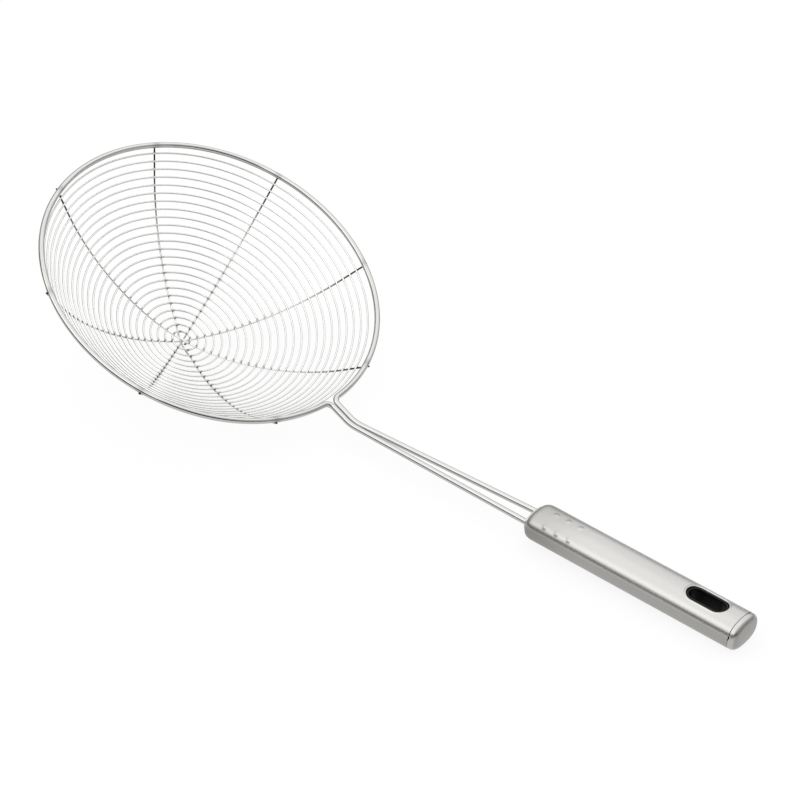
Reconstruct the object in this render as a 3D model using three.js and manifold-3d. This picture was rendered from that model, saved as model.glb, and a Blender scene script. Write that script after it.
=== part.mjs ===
// Wire skimmer in stainless steel, in millimetres with +Z up, lying on a table as it comes to rest there.
// One thick wire makes the hoop and, bent out side by side, the two legs of the neck. Thin ribs cross at the
// bottom of the bowl, and a single wire winds over them from the middle out to the hoop. A hollow oval handle
// with a front plug, a domed end cap and a lined hanging slot takes the ends of the legs.
import * as THREE from 'three';
import { mergeVertices } from 'three/addons/utils/BufferGeometryUtils.js';
import Module from 'manifold-3d';

const wasm = await Module();
wasm.setup();

// Clearance left between pieces that touch
const fitGap = 0.3;

// Hoop and neck, one bent wire
const hoopOuterDiameter = 180;
const frameWire = 3;
const throatBendRadius = 4;
const throatLength = 8.3;
const neckBendRadius = 18;
const neckRise = THREE.MathUtils.degToRad(25.2);
const neckLength = 108.9;
const legSpacing = 9.8;
const legInsertion = 24;

// Bowl: the wound surface drops by bowlDepth, and bowlFullness swells its wall outwards near the hoop
const bowlDepth = 52;
const bowlFullness = 0.25;
const spiralWire = 1;
const spiralTurns = 24;
const spiralInnerRadius = 3;
const ribWire = 0.9;
const ribCount = 4;
const ribStraightRun = 10;
const ribTip = 0.8;
const crossingFlat = 2;
const crossingReach = 14;

// Handle tube
const handleWidth = 21.2;
const handleThickness = 15;
const handleLength = 113;
const handleDroop = THREE.MathUtils.degToRad(1.24);
const handleWall = 0.8;
const ovalPower = 2.4;
const shoulderLength = 4.4;
const shoulderDraw = 2.4;
const dimpleDiameter = 3.2;
const dimpleHeight = 0.5;
const dimplesPerRow = 3;
const dimplePitch = 6.85;
const dimpleRowSpacing = 8.6;
const dimpleRowShift = -3.4;
const firstDimple = 10.6;

// Hanging slot and its liner
const slotLength = 21;
const slotWidth = 10;
const slotToRear = 7.7;
const linerWall = 1.2;
const linerRecess = 0.5;

// Front plug and end cap
const plugWall = 0.6;
const plugLength = 14;
const plugLip = 1.2;
const capBand = 0.6;
const capDome = 2.9;
const capDraw = 3.5;
const capSkirt = 6;

// Facets
const hoopSteps = 72;
const bendSteps = 5;
const stepsPerTurn = 24;
const ribSteps = 14;
const frameSides = 8;
const thinWireSides = 6;
const ovalSides = 28;
const roundSegments = 5;
const dimpleSides = 10;
const dimpleRings = 3;
const slotSegments = 8;

const hoopRadius = (hoopOuterDiameter - frameWire) / 2;
const fullTurn = 2 * Math.PI;
const ribTurn = Math.PI / ribCount;
const firstRib = ribTurn / 2;

const steel = new THREE.MeshStandardMaterial({ color: 0xc9cac8, roughness: 0.3, metalness: 1 });
const brushedSteel = new THREE.MeshStandardMaterial({ color: 0xbfc0bd, roughness: 0.4, metalness: 1 });
const blackPlastic = new THREE.MeshStandardMaterial({ color: 0x141414, roughness: 0.35, metalness: 0 });

// A curve through given points, whose steps fall on the points themselves
class WirePath extends THREE.Curve {
  constructor(points) {
    super();
    this.points = points;
  }

  getPoint(t, target = new THREE.Vector3()) {
    const place = t * (this.points.length - 1);
    const index = Math.min(Math.floor(place), this.points.length - 2);
    return target.lerpVectors(this.points[index], this.points[index + 1], place - index);
  }

  getUtoTmapping(u) {
    return u;
  }
}

// A round wire along the points, with flat ends
function wireGeometry(points, diameter, sides) {
  const ring = [];
  for (let i = 0; i < sides; i += 1) {
    const angle = (fullTurn * i) / sides;
    ring.push(new THREE.Vector2((diameter / 2) * Math.cos(angle), (diameter / 2) * Math.sin(angle)));
  }
  const extrudePath = new WirePath(points);
  return new THREE.ExtrudeGeometry(new THREE.Shape(ring), { steps: points.length - 1, extrudePath });
}

function piece(name, geometry, material) {
  const mesh = new THREE.Mesh(geometry, material.clone());
  mesh.name = name;
  return mesh;
}

// Closed geometry to a solid for cutting and joining, and back
function solidOf(geometry) {
  const bare = geometry.clone();
  bare.deleteAttribute('normal');
  bare.deleteAttribute('uv');
  const merged = mergeVertices(bare, 1e-4);
  const vertProperties = new Float32Array(merged.attributes.position.array);
  const triVerts = new Uint32Array(merged.index.array);
  return new wasm.Manifold(new wasm.Mesh({ numProp: 3, vertProperties, triVerts }));
}

function geometryOf(solid) {
  const { vertProperties, triVerts } = solid.getMesh();
  const geometry = new THREE.BufferGeometry();
  geometry.setAttribute('position', new THREE.BufferAttribute(new Float32Array(vertProperties), 3));
  geometry.setIndex(new THREE.BufferAttribute(new Uint32Array(triVerts), 1));
  geometry.computeVertexNormals();
  return geometry;
}

// Bowl: height of the wound surface at a distance r from the axis, zero at the middle of the hoop's wire
function bowlHeight(r) {
  const q = r / hoopRadius;
  return -bowlDepth * (1 - q ** 2) * (1 + bowlFullness * q ** 4);
}

class Meridian extends THREE.Curve {
  getPoint(t, target = new THREE.Vector3()) {
    const r = t * hoopRadius;
    return target.set(r, 0, bowlHeight(r));
  }
}

function aroundAxis(r, z, azimuth) {
  return new THREE.Vector3(r * Math.cos(azimuth), r * Math.sin(azimuth), z);
}

// Frame wire: from inside the handle along one leg, round the hoop and back along the other leg
const legGap = frameWire + fitGap;
const throatCentreY = legGap / 2 + throatBendRadius;
const throatCentreX = Math.sqrt((hoopRadius + throatBendRadius) ** 2 - throatCentreY ** 2);
const throatAngle = Math.atan2(throatCentreY, throatCentreX);
const neckBendX = throatCentreX + throatLength;
const neckStart = new THREE.Vector2(
  neckBendX + neckBendRadius * Math.sin(neckRise),
  neckBendRadius * (1 - Math.cos(neckRise)),
);
const neckDirection = new THREE.Vector2(Math.cos(neckRise), Math.sin(neckRise));
const handleFront = neckStart.clone().addScaledVector(neckDirection, neckLength);
const handleRise = neckRise - handleDroop;
const handleDirection = new THREE.Vector2(Math.cos(handleRise), Math.sin(handleRise));

function legPoints() {
  const legEnd = handleFront.clone().addScaledVector(handleDirection, legInsertion);
  const points = [
    new THREE.Vector3(legEnd.x, legSpacing / 2, legEnd.y),
    new THREE.Vector3(handleFront.x, legSpacing / 2, handleFront.y),
  ];
  for (let i = bendSteps; i >= 0; i -= 1) {
    const angle = (neckRise * i) / bendSteps;
    const x = neckBendX + neckBendRadius * Math.sin(angle);
    const z = neckBendRadius * (1 - Math.cos(angle));
    points.push(new THREE.Vector3(x, legGap / 2, z));
  }
  for (let i = 0; i < bendSteps; i += 1) {
    const angle = -Math.PI / 2 - ((Math.PI / 2 - throatAngle) * i) / bendSteps;
    const x = throatCentreX + throatBendRadius * Math.cos(angle);
    const y = throatCentreY + throatBendRadius * Math.sin(angle);
    points.push(new THREE.Vector3(x, y, 0));
  }
  return points;
}

function frameWireGeometry() {
  const leg = legPoints();
  const hoop = [];
  for (let i = 0; i <= hoopSteps; i += 1) {
    hoop.push(aroundAxis(hoopRadius, 0, throatAngle + ((fullTurn - 2 * throatAngle) * i) / hoopSteps));
  }
  const back = leg.map((p) => new THREE.Vector3(p.x, -p.y, p.z)).reverse();
  return wireGeometry([...leg, ...hoop, ...back], frameWire, frameSides);
}

// Spiral wire: the bowl's meridian length is shared evenly between the turns, out to the inside of the hoop
function spiralGeometry() {
  const meridian = new Meridian();
  const length = meridian.getLength();
  const begin = spiralInnerRadius / length;
  const end = 1 - (frameWire / 2 + spiralWire / 2 + fitGap) / length;
  const steps = spiralTurns * stepsPerTurn;
  const points = [];
  for (let i = 0; i <= steps; i += 1) {
    const onMeridian = meridian.getPointAt(THREE.MathUtils.lerp(begin, end, i / steps));
    points.push(aroundAxis(onMeridian.x, onMeridian.z, -firstRib + (fullTurn * i) / stepsPerTurn));
  }
  console.log(`spiral_wire least gap to itself ${leastGap(points).toFixed(2)} mm`);
  return wireGeometry(points, spiralWire, thinWireSides);
}

// Least distance between points at least half a turn apart along the wire, less the wire
function leastGap(points) {
  let least = Infinity;
  points.forEach((point, i) => {
    for (let j = i + stepsPerTurn / 2; j < points.length; j += 1) {
      least = Math.min(least, point.distanceTo(points[j]));
    }
  });
  return least - spiralWire;
}

// Ribs: each lies under the spiral from hoop to hoop, dips at the middle to pass below the ribs before it, and
// ends just past the hoop, which it meets from below
function ribProfile(r) {
  const rise = 0.01;
  const slope = Math.atan2(bowlHeight(r + rise) - bowlHeight(r - rise), 2 * rise);
  const below = spiralWire / 2 + fitGap + ribWire / 2;
  return new THREE.Vector2(r + below * Math.sin(slope), bowlHeight(r) - below * Math.cos(slope));
}

function ribHalf(layer) {
  const straightFrom = hoopRadius - ribStraightRun;
  const half = [];
  for (let i = 0; i <= ribSteps; i += 1) {
    const r = straightFrom * (i / ribSteps) ** 1.5;
    const dip = layer * (ribWire + fitGap) * (1 - THREE.MathUtils.smoothstep(r, crossingFlat, crossingReach));
    const point = ribProfile(r);
    half.push(point.setY(point.y - dip));
  }
  const last = half[ribSteps];
  const toHoop = new THREE.Vector2(hoopRadius - last.x, -last.y);
  const keepOff = frameWire / 2 + ribWire / 2 + fitGap;
  const heading = toHoop.angle() - Math.asin(keepOff / toHoop.length());
  const run = Math.sqrt(toHoop.lengthSq() - keepOff ** 2) + ribTip;
  half.push(new THREE.Vector2(last.x + run * Math.cos(heading), last.y + run * Math.sin(heading)));
  return half;
}

function ribGeometry(layer) {
  const azimuth = firstRib + layer * ribTurn;
  const half = ribHalf(layer);
  const near = half.slice(1).reverse().map((p) => aroundAxis(-p.x, p.y, azimuth));
  const far = half.map((p) => aroundAxis(p.x, p.y, azimuth));
  return wireGeometry([...near, ...far], ribWire, thinWireSides);
}

// Handle sections: a squarish oval with a flat facet on top and underneath, run along the handle's X
const alongHandle = new THREE.Matrix4().makeBasis(
  new THREE.Vector3(0, 1, 0),
  new THREE.Vector3(0, 0, 1),
  new THREE.Vector3(1, 0, 0),
);

function ovalShape(width, height) {
  const power = 2 / ovalPower;
  const points = [];
  for (let i = 0; i < ovalSides; i += 1) {
    const angle = (fullTurn * (i + 0.5)) / ovalSides;
    const across = Math.sign(Math.cos(angle)) * Math.abs(Math.cos(angle)) ** power;
    const up = Math.sign(Math.sin(angle)) * Math.abs(Math.sin(angle)) ** power;
    points.push(new THREE.Vector2((width / 2) * across, (height / 2) * up));
  }
  return new THREE.Shape(points);
}

function bar(shape, from, to) {
  const geometry = new THREE.ExtrudeGeometry(shape, { depth: to - from, bevelEnabled: false });
  return solidOf(geometry.applyMatrix4(alongHandle).translate(from, 0, 0));
}

// A bar whose two ends draw in by the same amount over the given length, along a quarter of an ellipse
function roundedBar(shape, from, to, length, draw) {
  const geometry = new THREE.ExtrudeGeometry(shape, {
    depth: to - from - 2 * length,
    bevelThickness: length,
    bevelSize: draw,
    bevelOffset: -draw,
    bevelSegments: roundSegments,
  });
  return solidOf(geometry.applyMatrix4(alongHandle).translate(from + length, 0, 0));
}

// A block over the whole section, to trim bars square
function sectionBlock(from, to) {
  const size = 2 * (handleWidth + handleThickness);
  return solidOf(new THREE.BoxGeometry(to - from, size, size).translate((from + to) / 2, 0, 0));
}

const slotCentre = handleLength - slotToRear - slotLength / 2;

function slotPost(inset, height) {
  const radius = slotWidth / 2 - inset;
  const straight = (slotLength - slotWidth) / 2;
  const shape = new THREE.Shape();
  shape.absarc(straight, 0, radius, -Math.PI / 2, Math.PI / 2);
  shape.absarc(-straight, 0, radius, Math.PI / 2, (3 * Math.PI) / 2);
  const curveSegments = slotSegments;
  const geometry = new THREE.ExtrudeGeometry(shape, { depth: height, bevelEnabled: false, curveSegments });
  return solidOf(geometry.translate(slotCentre, 0, -height / 2));
}

const innerWidth = handleWidth - 2 * handleWall;
const innerThickness = handleThickness - 2 * handleWall;
const plugWidth = legSpacing + frameWire + 2 * (fitGap + plugWall);
const plugHeight = frameWire + 2 * (fitGap + plugWall);
const pastEnd = shoulderLength + capDome;

// Height of the handle's top at a distance y from its middle
function topHeight(y) {
  const across = (2 * Math.abs(y)) / handleWidth;
  return (handleThickness / 2) * (1 - across ** ovalPower) ** (1 / ovalPower);
}

// One pressed dot on top of the handle: the cap of a sphere that stands square to the top there, with a foot in
// the tube's wall
function dimpleSolid(x, y) {
  const radius = dimpleDiameter ** 2 / (8 * dimpleHeight) + dimpleHeight / 2;
  const reach = Math.asin(dimpleDiameter / (2 * radius));
  const profile = [new THREE.Vector2(0, -handleWall), new THREE.Vector2(dimpleDiameter / 2, -handleWall)];
  for (let i = dimpleRings; i >= 0; i -= 1) {
    const angle = (reach * i) / dimpleRings;
    profile.push(new THREE.Vector2(radius * Math.sin(angle), dimpleHeight - radius * (1 - Math.cos(angle))));
  }
  const slope = Math.atan2(topHeight(y + 0.01) - topHeight(y - 0.01), 0.02);
  const geometry = new THREE.LatheGeometry(profile, dimpleSides).rotateX(Math.PI / 2 + slope);
  return solidOf(geometry.translate(x, y, topHeight(y)));
}

function handleTubeGeometry() {
  const outerShape = ovalShape(handleWidth, handleThickness);
  const innerShape = ovalShape(innerWidth, innerThickness);
  const mouthShape = ovalShape(plugWidth + 2 * fitGap, plugHeight + 2 * fitGap);
  const outside = roundedBar(outerShape, 0, handleLength + pastEnd, shoulderLength, shoulderDraw);
  const inside = roundedBar(innerShape, handleWall, handleLength + pastEnd, shoulderLength, shoulderDraw);
  let tube = outside.intersect(sectionBlock(-pastEnd, handleLength));
  for (let i = 0; i < dimplesPerRow; i += 1) {
    for (const side of [-1, 1]) {
      const y = dimpleRowShift + (side * dimpleRowSpacing) / 2;
      tube = tube.add(dimpleSolid(firstDimple + i * dimplePitch, y));
    }
  }
  tube = tube.subtract(inside);
  tube = tube.subtract(bar(mouthShape, -pastEnd, pastEnd));
  return geometryOf(tube.subtract(slotPost(0, 2 * handleThickness)));
}

function slotLinerGeometry() {
  const height = handleThickness - 2 * linerRecess;
  const hole = slotPost(fitGap + linerWall, 2 * handleThickness);
  return geometryOf(slotPost(fitGap, height).subtract(hole));
}

function frontPlugGeometry() {
  let plug = bar(ovalShape(plugWidth, plugHeight), -plugLip, plugLength);
  for (const side of [-1, 1]) {
    const hole = new THREE.Shape();
    hole.absarc((side * legSpacing) / 2, 0, frameWire / 2 + fitGap, 0, fullTurn);
    plug = plug.subtract(bar(hole, -2 * plugLip, 2 * plugLength));
  }
  return geometryOf(plug);
}

function endCapGeometry() {
  const front = handleLength + fitGap;
  const skirtWidth = innerWidth - 2 * fitGap;
  const skirtThickness = innerThickness - 2 * fitGap;
  const skirtShape = ovalShape(skirtWidth, skirtThickness);
  const hollowShape = ovalShape(skirtWidth - 2 * handleWall, skirtThickness - 2 * handleWall);
  const ends = roundedBar(
    ovalShape(handleWidth, handleThickness),
    front - pastEnd,
    front + capBand + capDome,
    capDome,
    capDraw,
  );
  const dome = ends.intersect(sectionBlock(front, front + 2 * pastEnd));
  const skirt = bar(skirtShape, handleLength - capSkirt, front + capBand);
  const hollow = bar(hollowShape, handleLength - 2 * capSkirt, front + capBand);
  return geometryOf(dome.add(skirt).subtract(hollow));
}

// Assembly: bowl and handle groups in the plane of the hoop, tipped as a whole into the resting pose
const bowl = new THREE.Group();
bowl.add(piece('frame_wire', frameWireGeometry(), steel));
bowl.add(piece('spiral_wire', spiralGeometry(), steel));
for (let layer = 0; layer < ribCount; layer += 1) {
  bowl.add(piece(`rib_${layer + 1}`, ribGeometry(layer), steel));
}

const handle = new THREE.Group();
handle.position.set(handleFront.x, 0, handleFront.y);
handle.rotation.y = -handleRise;
handle.add(piece('handle_tube', handleTubeGeometry(), brushedSteel));
handle.add(piece('front_plug', frontPlugGeometry(), brushedSteel));
handle.add(piece('end_cap', endCapGeometry(), brushedSteel));
handle.add(piece('slot_liner', slotLinerGeometry(), blackPlastic));

const skimmer = new THREE.Group();
skimmer.add(bowl, handle);

// Height of the lowest vertex of a group once the skimmer is tipped by an angle about Y
function lowest(group, tip) {
  const turn = new THREE.Matrix4().makeRotationY(tip);
  const vertex = new THREE.Vector3();
  let low = Infinity;
  group.updateMatrixWorld(true);
  group.traverse((node) => {
    const positions = node.geometry?.attributes.position;
    for (let i = 0; i < (positions?.count ?? 0); i += 1) {
      vertex.fromBufferAttribute(positions, i).applyMatrix4(node.matrixWorld).applyMatrix4(turn);
      low = Math.min(low, vertex.z);
    }
  });
  return low;
}

// The skimmer tips towards its handle until the bowl and the rear of the handle touch the table together
function restingTip() {
  let low = 0;
  let high = Math.PI / 3;
  for (let i = 0; i < 40; i += 1) {
    const tip = (low + high) / 2;
    if (lowest(handle, tip) > lowest(bowl, tip)) {
      low = tip;
    } else {
      high = tip;
    }
  }
  return low;
}

skimmer.rotation.y = restingTip();
const box = new THREE.Box3().setFromObject(skimmer, true);
skimmer.position.set(-(box.min.x + box.max.x) / 2, -(box.min.y + box.max.y) / 2, -box.min.z);

export default skimmer;
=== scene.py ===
import math

import bpy
import numpy as np
from mathutils import Matrix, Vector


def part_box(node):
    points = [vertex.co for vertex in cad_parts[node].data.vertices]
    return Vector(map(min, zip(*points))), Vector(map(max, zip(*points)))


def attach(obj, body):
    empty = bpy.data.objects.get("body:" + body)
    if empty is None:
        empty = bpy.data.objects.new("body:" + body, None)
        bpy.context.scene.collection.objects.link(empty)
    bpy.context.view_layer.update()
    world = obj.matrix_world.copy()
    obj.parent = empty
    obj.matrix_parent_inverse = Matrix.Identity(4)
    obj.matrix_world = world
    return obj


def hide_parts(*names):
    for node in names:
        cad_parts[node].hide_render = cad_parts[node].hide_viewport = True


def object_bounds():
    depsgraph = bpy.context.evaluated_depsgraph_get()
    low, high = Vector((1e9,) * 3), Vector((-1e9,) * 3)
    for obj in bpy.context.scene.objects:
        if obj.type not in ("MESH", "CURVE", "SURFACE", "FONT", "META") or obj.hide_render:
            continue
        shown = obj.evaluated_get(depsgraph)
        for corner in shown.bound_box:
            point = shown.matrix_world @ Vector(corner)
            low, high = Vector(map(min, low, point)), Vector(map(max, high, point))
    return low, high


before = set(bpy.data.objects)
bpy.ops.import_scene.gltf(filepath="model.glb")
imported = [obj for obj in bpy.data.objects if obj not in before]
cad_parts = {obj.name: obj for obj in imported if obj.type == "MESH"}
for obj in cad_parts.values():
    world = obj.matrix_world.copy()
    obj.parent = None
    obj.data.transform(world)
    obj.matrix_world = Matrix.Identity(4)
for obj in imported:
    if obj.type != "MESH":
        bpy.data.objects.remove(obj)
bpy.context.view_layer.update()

# The tool is worked out in millimetres with the hoop's middle at the origin, the rim flat in XY and +X towards
# the handle. toolTip and toolOrigin lay it down where the frame has it.
neck = {
    "rise": math.radians(25.2),  # angle of the legs to the plane of the rim
    "droop": math.radians(1.24), # how much less the handle rises than the legs
    "length": 108.9,             # from the bend to the handle
    "bendRadius": 18.0,
    "throatRadius": 4.0,         # tight bend from the hoop into a leg
    "throatLength": 8.3,
    "legGap": 3.3,               # between the two wires at the throat, centre to centre
    "legSpacing": 9.8,           # the same at the handle
    "insertion": 24.0,           # length of leg hidden in the handle
}
hoop = {"radius": 88.5, "wire": 3.0}

handleRise = neck["rise"] - neck["droop"]
toolTip = math.radians(25.3695)  # the bowl and the handle's rear then both touch the table
wireLow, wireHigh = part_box("frame_wire")
toolOrigin = 1000.0 * np.array([
    wireLow.x + (hoop["radius"] * math.cos(toolTip) + hoop["wire"] / 2) / 1000.0,
    0.0,
    wireHigh.z - (hoop["radius"] * math.sin(toolTip) + hoop["wire"] / 2) / 1000.0,
])
toolTurn = np.array([
    [math.cos(toolTip), 0.0, math.sin(toolTip)],
    [0.0, 1.0, 0.0],
    [-math.sin(toolTip), 0.0, math.cos(toolTip)],
])
print(f"frame loaded, tool tipped by {math.degrees(toolTip):.2f} degrees")


def onTable(points):
    # from tool millimetres to the frame's metres
    return (toolOrigin + np.asarray(points) @ toolTurn.T) / 1000.0


throatY = neck["legGap"] / 2 + neck["throatRadius"]
throatX = math.sqrt((hoop["radius"] + neck["throatRadius"]) ** 2 - throatY ** 2)
throatAngle = math.atan2(throatY, throatX)
neckBendX = throatX + neck["throatLength"]
neckRun = np.array([math.cos(neck["rise"]), 0.0, math.sin(neck["rise"])])
neckStart = np.array([
    neckBendX + neck["bendRadius"] * math.sin(neck["rise"]),
    0.0,
    neck["bendRadius"] * (1 - math.cos(neck["rise"])),
])
handleFront = neckStart + neck["length"] * neckRun
handleAlong = np.array([math.cos(handleRise), 0.0, math.sin(handleRise)])
handleUp = np.array([-math.sin(handleRise), 0.0, math.cos(handleRise)])


def onHandle(points):
    # from handle millimetres (x from its front to its rear, y across, z up) to tool millimetres
    points = np.asarray(points)
    return (handleFront + points[..., :1] * handleAlong + points[..., 1:2] * np.array([0.0, 1.0, 0.0])
            + points[..., 2:] * handleUp)


# Mesh building

def gridFaces(rows, columns, offset=0, wrap=True):
    # quads between neighbouring rows of a grid whose vertices run row by row, closed round the columns if wrapped
    row, column = np.meshgrid(np.arange(rows - 1), np.arange(columns if wrap else columns - 1), indexing="ij")
    here = (row * columns + column).ravel()
    beside = (row * columns + (column + 1) % columns).ravel()
    return offset + np.stack([here, beside, beside + columns, here + columns], axis=1)


def fanFaces(ring, pole, flip=False):
    # triangles from a closed ring of vertices to one vertex at its middle
    ring = np.asarray(ring)
    after = np.roll(ring, -1)
    middle = np.full(len(ring), pole)
    return np.stack([after, ring, middle] if flip else [ring, after, middle], axis=1)


def makePiece(name, points, faceSets, material, nodes=(), uv=None, heatAndShade=None):
    # mesh from vertex and face arrays already in the frame's metres; unused vertices are dropped
    used = np.unique(np.concatenate([faces.ravel() for faces in faceSets]))
    newIndex = np.full(len(points), -1)
    newIndex[used] = np.arange(len(used))
    corners = np.concatenate([newIndex[faces].ravel() for faces in faceSets])
    sizes = np.concatenate([np.full(len(faces), faces.shape[1]) for faces in faceSets])
    mesh = bpy.data.meshes.new(name)
    mesh.vertices.add(len(used))
    mesh.vertices.foreach_set("co", points[used].astype(np.float32).ravel())
    mesh.loops.add(len(corners))
    mesh.loops.foreach_set("vertex_index", corners.astype(np.int32))
    mesh.polygons.add(len(sizes))
    mesh.polygons.foreach_set("loop_start", (np.cumsum(sizes) - sizes).astype(np.int32))
    mesh.polygons.foreach_set("use_smooth", np.ones(len(sizes), dtype=bool))
    mesh.update(calc_edges=True)
    if uv is not None:
        layer = mesh.uv_layers.new(name="alongWire")
        layer.data.foreach_set("uv", np.concatenate(uv).astype(np.float32).ravel())
    if heatAndShade is not None:
        attribute = mesh.attributes.new("weldHeatAndShade", "FLOAT", "POINT")
        attribute.data.foreach_set("value", heatAndShade[used].astype(np.float32))
    mesh.materials.append(material)
    piece = bpy.data.objects.new(name, mesh)
    bpy.context.scene.collection.objects.link(piece)
    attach(piece, "root")
    if nodes:
        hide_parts(*nodes)
    print(f"{name}: {len(used)} vertices, {len(sizes)} faces")
    return piece


def wireMesh(path, diameter, sides, heatAndShade):
    # round wire: at each path point a ring of radius d/2 in the plane across the path, spanned by the level
    # direction across it and the one square to both; the ends close over a quarter circle to a pole
    path = np.asarray(path)
    tangent = np.gradient(path, axis=0)
    tangent /= np.linalg.norm(tangent, axis=1, keepdims=True)
    bulge = np.radians(np.array([80.0, 55.0, 28.0]))
    radius = diameter / 2 * np.concatenate([np.cos(bulge), np.ones(len(path)), np.cos(bulge[::-1])])
    shift = diameter / 2 * np.concatenate([-np.sin(bulge), np.zeros(len(path)), np.sin(bulge[::-1])])
    pick = np.concatenate([np.zeros(len(bulge), int), np.arange(len(path)), np.full(len(bulge), len(path) - 1)])
    tangent = tangent[pick]
    centre = path[pick] + shift[:, None] * tangent
    side = np.cross([0.0, 0.0, 1.0], tangent)
    side /= np.linalg.norm(side, axis=1, keepdims=True)
    up = np.cross(tangent, side)
    turn = 2 * np.pi * np.arange(sides) / sides
    ring = np.cos(turn)[None, :, None] * side[:, None, :] + np.sin(turn)[None, :, None] * up[:, None, :]
    rings = centre[:, None, :] + radius[:, None, None] * ring
    rows = len(centre)
    poles = np.stack([path[0] - tangent[0] * diameter / 2, path[-1] + tangent[-1] * diameter / 2])
    points = np.concatenate([rings.reshape(-1, 3), poles])
    quads = gridFaces(rows, sides)
    startFan = fanFaces(np.arange(sides), rows * sides, flip=True)
    endFan = fanFaces((rows - 1) * sides + np.arange(sides), rows * sides + 1)
    # pattern coordinates: millimetres along the wire and round it
    run = np.concatenate([[0.0], np.cumsum(np.linalg.norm(np.diff(centre, axis=0), axis=1))])
    around = np.pi * diameter / sides
    row, column = np.divmod(np.arange((rows - 1) * sides), sides)
    quadUv = np.stack([
        np.stack([run[row], run[row], run[row + 1], run[row + 1]], axis=1),
        around * np.stack([column, column + 1, column + 1, column], axis=1),
    ], axis=2).reshape(-1, 2)
    fanUv = np.zeros((3 * sides, 2))
    pointHeatAndShade = np.concatenate([np.repeat(np.clip(np.asarray(heatAndShade)[pick], 0.0, 1.0), sides), [heatAndShade[0], heatAndShade[-1]]])
    return points, [quads, startFan, endFan], [quadUv, fanUv, fanUv + [run[-1], 0.0]], pointHeatAndShade


# Materials

def linear(hexColour):
    # sRGB hex to linear RGBA
    value = np.array([int(hexColour[i:i + 2], 16) for i in (1, 3, 5)]) / 255.0
    value = np.where(value <= 0.04045, value / 12.92, ((value + 0.055) / 1.055) ** 2.4)
    return (*value.tolist(), 1.0)


def addNode(tree, kind, settings=None, links=None):
    # a node with its own properties or input values set by name, and its inputs linked by name
    node = tree.nodes.new(kind)
    for key, value in (settings or {}).items():
        if isinstance(key, str) and hasattr(node, key):
            setattr(node, key, value)
        else:
            node.inputs[key].default_value = value
    for key, socket in (links or {}).items():
        tree.links.new(socket, node.inputs[key])
    return node


def newMaterial(name):
    material = bpy.data.materials.new(name)
    material.use_nodes = True
    material.node_tree.nodes.clear()
    return material, material.node_tree


# Drawn stainless wire: bright and near mirror, with fine die lines that run along it and a dull grey-brown haze
# where it was welded; on the ribs the same haze is also painted shade that darkens them towards the hoop.
# The thick wire of the frame is a shade deeper and smoother than the thin wire of the bowl.
def makeDrawnWire(name, deep, pale, smooth, dullest):
    material, tree = newMaterial(name)
    uv = addNode(tree, "ShaderNodeUVMap", {"uv_map": "alongWire"})
    # die lines 0.15 mm apart round the wire and about 25 mm long, drawn coarser than the real 0.02 mm to show
    stretch = addNode(tree, "ShaderNodeMapping", {"Scale": (1 / 25.0, 1 / 0.15, 1.0)}, {"Vector": uv.outputs["UV"]})
    lines = addNode(tree, "ShaderNodeTexNoise", {"Scale": 1.0, "Detail": 3.0, "Roughness": 0.6},
                    {"Vector": stretch.outputs["Vector"]})
    heatAndShade = addNode(tree, "ShaderNodeAttribute", {"attribute_name": "weldHeatAndShade"})
    tone = addNode(tree, "ShaderNodeMapRange", {"From Min": 0.3, "From Max": 0.7, "To Min": 0.0, "To Max": 1.0},
                   {"Value": lines.outputs["Fac"]})
    steel = addNode(tree, "ShaderNodeMix", {"data_type": "RGBA", 6: linear(deep), 7: linear(pale)},
                    {0: tone.outputs["Result"]})
    # the weld attribute pulls the colour to this dark grey-brown: weld tint at the welds, and painted shade on the
    # ribs towards the hoop
    tint = addNode(tree, "ShaderNodeMix", {"data_type": "RGBA", 7: linear("#363432")},
                   {0: heatAndShade.outputs["Fac"], 6: steel.outputs[2]})
    polish = addNode(tree, "ShaderNodeMapRange", {
        "From Min": 0.3, "From Max": 0.7, "To Min": smooth, "To Max": dullest}, {"Value": lines.outputs["Fac"]})
    dull = addNode(tree, "ShaderNodeMath", {"operation": "MULTIPLY_ADD", 1: 0.25},
                   {0: heatAndShade.outputs["Fac"], 2: polish.outputs["Result"]})
    ridges = addNode(tree, "ShaderNodeBump", {"Strength": 0.08, "Distance": 0.00002},
                     {"Height": lines.outputs["Fac"]})
    shader = addNode(tree, "ShaderNodeBsdfPrincipled", {"Metallic": 1.0}, {
        "Base Color": tint.outputs[2], "Roughness": dull.outputs["Value"], "Normal": ridges.outputs["Normal"]})
    addNode(tree, "ShaderNodeOutputMaterial", {}, {"Surface": shader.outputs["BSDF"]})
    return material
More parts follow.
